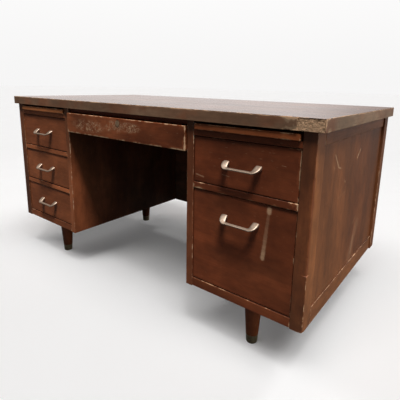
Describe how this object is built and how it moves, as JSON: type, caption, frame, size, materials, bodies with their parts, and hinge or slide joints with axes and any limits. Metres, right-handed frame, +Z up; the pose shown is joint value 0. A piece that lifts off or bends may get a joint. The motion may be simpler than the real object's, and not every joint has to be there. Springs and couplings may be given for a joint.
{
  "type": "teacher desk",
  "caption": "Double-pedestal wooden teacher desk with pull-out writing slides, a locking centre drawer, stacked drawers, a deep file drawer and tapered legs with ferrules.",
  "frame": {"origin": "on the floor, under the middle of the desk's outer box", "axes": "+X along the desk's length, to the right of someone facing the drawer fronts; +Y towards the back, so the drawers open along -Y; +Z up"},
  "size_m": [1.524, 0.7768, 0.762],
  "materials": {
    "top_wood": "worn gloss veneer with a grey-brown edge band",
    "face_wood": "reddish walnut stain under satin lacquer",
    "side_wood": "faded, scuffed walnut stain",
    "slide_wood": "orange-brown stain with a paler edge",
    "drawer_wood": "plain pale wood, unfinished",
    "leg_wood": "near-black brown stain",
    "ferrule_metal": "blackened metal cup",
    "pull_metal": "champagne-coloured satin metal",
    "lock_metal": "dull, worn"
  },
  "bodies": {
    "desk": {"desk_top": "top_wood", "left_front_post": "side_wood", "left_rear_post": "side_wood", "left_side_top_rail": "side_wood", "left_side_bottom_rail": "side_wood", "left_side_panel": "side_wood", "left_back_board": "side_wood", "left_inner_panel": "face_wood", "left_bottom_board": "face_wood", "left_slide_shelf": "face_wood", "left_centre_runner": "drawer_wood", "right_front_post": "side_wood", "right_rear_post": "side_wood", "right_side_top_rail": "side_wood", "right_side_bottom_rail": "side_wood", "right_side_panel": "side_wood", "right_back_board": "side_wood", "right_inner_panel": "face_wood", "right_bottom_board": "face_wood", "right_slide_shelf": "face_wood", "right_centre_runner": "drawer_wood", "left_upper_divider": "face_wood", "left_lower_divider": "face_wood", "right_divider": "face_wood", "kneehole_rail": "face_wood", "modesty_panel": "face_wood", "front_left_leg": "leg_wood", "front_left_ferrule": "ferrule_metal", "front_right_leg": "leg_wood", "front_right_ferrule": "ferrule_metal", "rear_left_leg": "leg_wood", "rear_left_ferrule": "ferrule_metal", "rear_right_leg": "leg_wood", "rear_right_ferrule": "ferrule_metal"},
    "left_top_drawer": {"left_top_drawer_front": "face_wood", "left_top_drawer_box": "drawer_wood", "left_top_drawer_bottom": "drawer_wood", "left_top_drawer_pull": "pull_metal"},
    "left_middle_drawer": {"left_middle_drawer_front": "face_wood", "left_middle_drawer_box": "drawer_wood", "left_middle_drawer_bottom": "drawer_wood", "left_middle_drawer_pull": "pull_metal"},
    "left_bottom_drawer": {"left_bottom_drawer_front": "face_wood", "left_bottom_drawer_box": "drawer_wood", "left_bottom_drawer_bottom": "drawer_wood", "left_bottom_drawer_pull": "pull_metal"},
    "right_top_drawer": {"right_top_drawer_front": "face_wood", "right_top_drawer_box": "drawer_wood", "right_top_drawer_bottom": "drawer_wood", "right_top_drawer_pull": "pull_metal"},
    "file_drawer": {"file_drawer_front": "face_wood", "file_drawer_box": "drawer_wood", "file_drawer_bottom": "drawer_wood", "file_drawer_pull": "pull_metal"},
    "centre_drawer": {"centre_drawer_front": "face_wood", "centre_drawer_tray": "drawer_wood", "lock_body": "lock_metal"},
    "lock_plug": {"lock_plug": "lock_metal"},
    "left_writing_slide": {"left_writing_slide": "slide_wood"},
    "right_writing_slide": {"right_writing_slide": "slide_wood"}
  },
  "joints": [
    {"name": "left_top_drawer_slide", "type": "slide", "parent": "desk", "child": "left_top_drawer", "axis": [0, -1, 0], "range_m": [0, 0.42]},
    {"name": "left_middle_drawer_slide", "type": "slide", "parent": "desk", "child": "left_middle_drawer", "axis": [0, -1, 0], "range_m": [0, 0.42]},
    {"name": "left_bottom_drawer_slide", "type": "slide", "parent": "desk", "child": "left_bottom_drawer", "axis": [0, -1, 0], "range_m": [0, 0.42]},
    {"name": "right_top_drawer_slide", "type": "slide", "parent": "desk", "child": "right_top_drawer", "axis": [0, -1, 0], "range_m": [0, 0.42]},
    {"name": "file_drawer_slide", "type": "slide", "parent": "desk", "child": "file_drawer", "axis": [0, -1, 0], "range_m": [0, 0.42]},
    {"name": "centre_drawer_slide", "type": "slide", "parent": "desk", "child": "centre_drawer", "axis": [0, -1, 0], "range_m": [0, 0.3]},
    {"name": "lock_turn", "type": "hinge", "parent": "centre_drawer", "child": "lock_plug", "pos_m": [0, -0.3716, 0.691], "axis": [0, 1, 0], "range_deg": [0, 90]},
    {"name": "left_writing_slide_slide", "type": "slide", "parent": "desk", "child": "left_writing_slide", "axis": [0, -1, 0], "range_m": [0, 0.36]},
    {"name": "right_writing_slide_slide", "type": "slide", "parent": "desk", "child": "right_writing_slide", "axis": [0, -1, 0], "range_m": [0, 0.36]}
  ]
}
